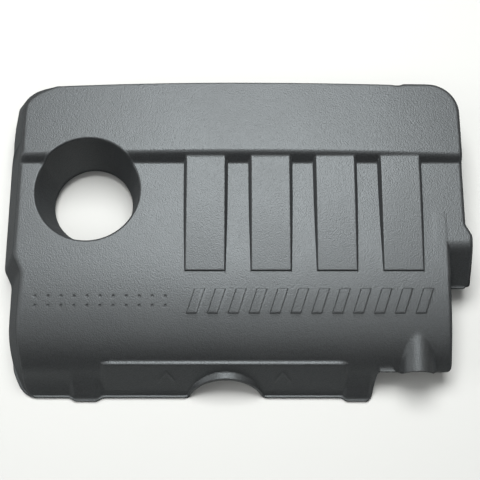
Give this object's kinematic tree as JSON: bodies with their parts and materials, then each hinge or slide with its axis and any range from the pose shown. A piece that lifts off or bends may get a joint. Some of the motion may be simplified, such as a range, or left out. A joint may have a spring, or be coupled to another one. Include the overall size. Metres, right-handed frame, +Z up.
{
  "type": "engine cover",
  "caption": "Moulded cover for the top of a car engine, with a filler well, raised ribs, a rolled front with a flared skirt, an arch and rubber push-on mounts.",
  "frame": {"origin": "middle of the cover's footprint, on the plane that its lowest edges stand on", "axes": "+X from the filler well's end to the ear, +Y from the arched front skirt to the rear deck, +Z up"},
  "size_m": [0.54, 0.363, 0.084],
  "materials": {
    "moulding": "fine grained, satin sheen",
    "grommet": "matte"
  },
  "bodies": {
    "root": {"cover": "moulding", "grommet_rear_left": "grommet", "grommet_rear_right": "grommet", "grommet_front_left": "grommet", "grommet_front_right": "grommet"}
  },
  "joints": []
}
